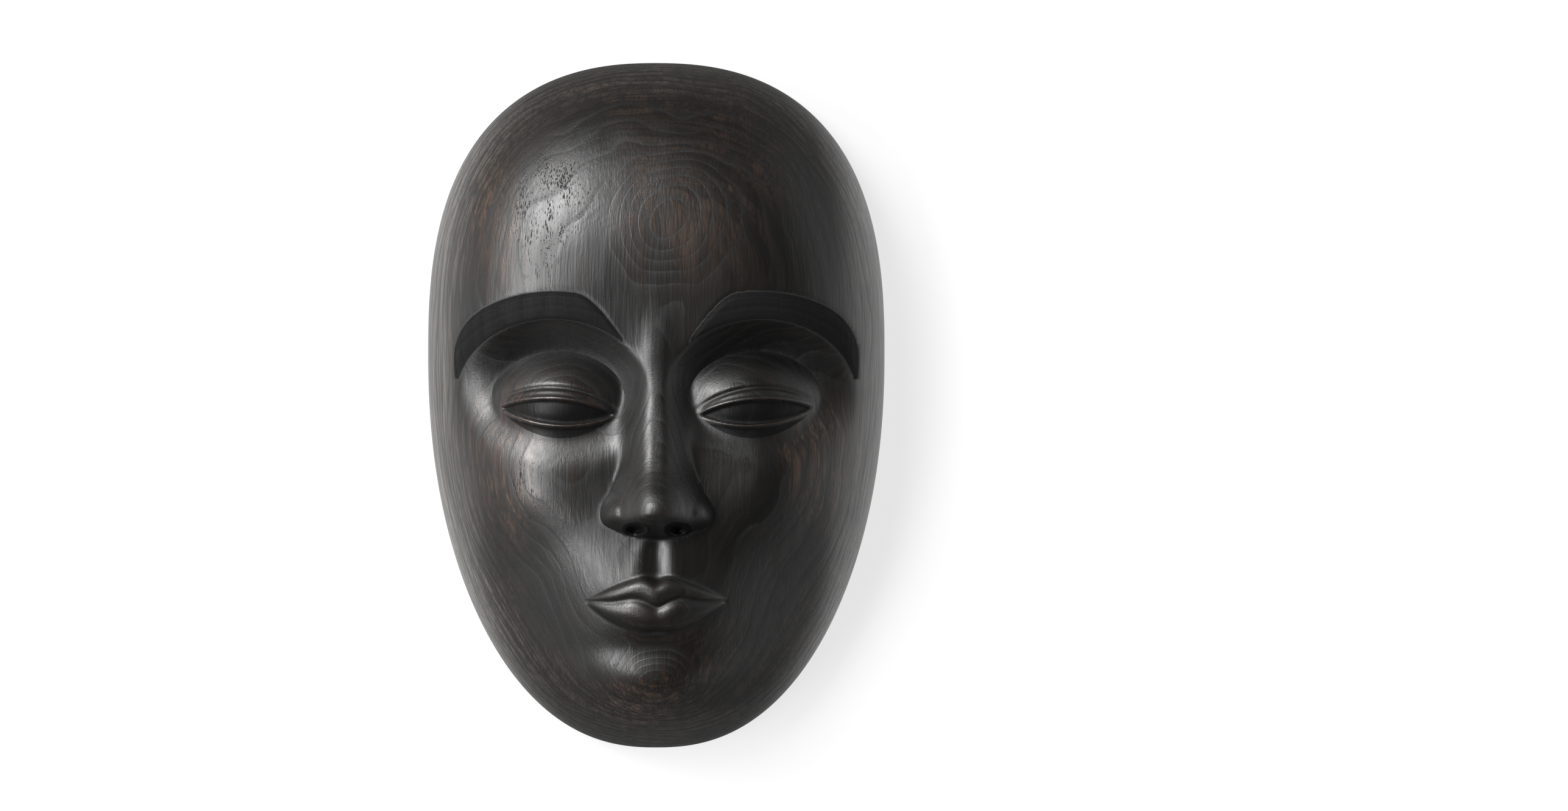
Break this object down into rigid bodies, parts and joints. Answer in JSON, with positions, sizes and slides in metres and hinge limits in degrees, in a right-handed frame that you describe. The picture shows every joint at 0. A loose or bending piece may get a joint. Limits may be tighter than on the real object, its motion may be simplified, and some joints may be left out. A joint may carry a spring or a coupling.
{
  "type": "wooden mask",
  "caption": "Carved dark wooden face mask with lowered eyelids, raised brow bands, full lips and a hollow back; it lies face up on its flat rim.",
  "frame": {"origin": "on the ground under the middle of the mask, in the plane of its back rim", "axes": "+Z out of the face, +Y from chin to brow, +X to the right of someone who looks at the face"},
  "size_m": [0.2, 0.3, 0.1005],
  "materials": {
    "carved_wood": "polished near-black hardwood with warm brown patches, open pores and a satin shine; bare tool-cut wood in the hollow"
  },
  "bodies": {
    "root": {"mask": "carved_wood"}
  },
  "joints": []
}
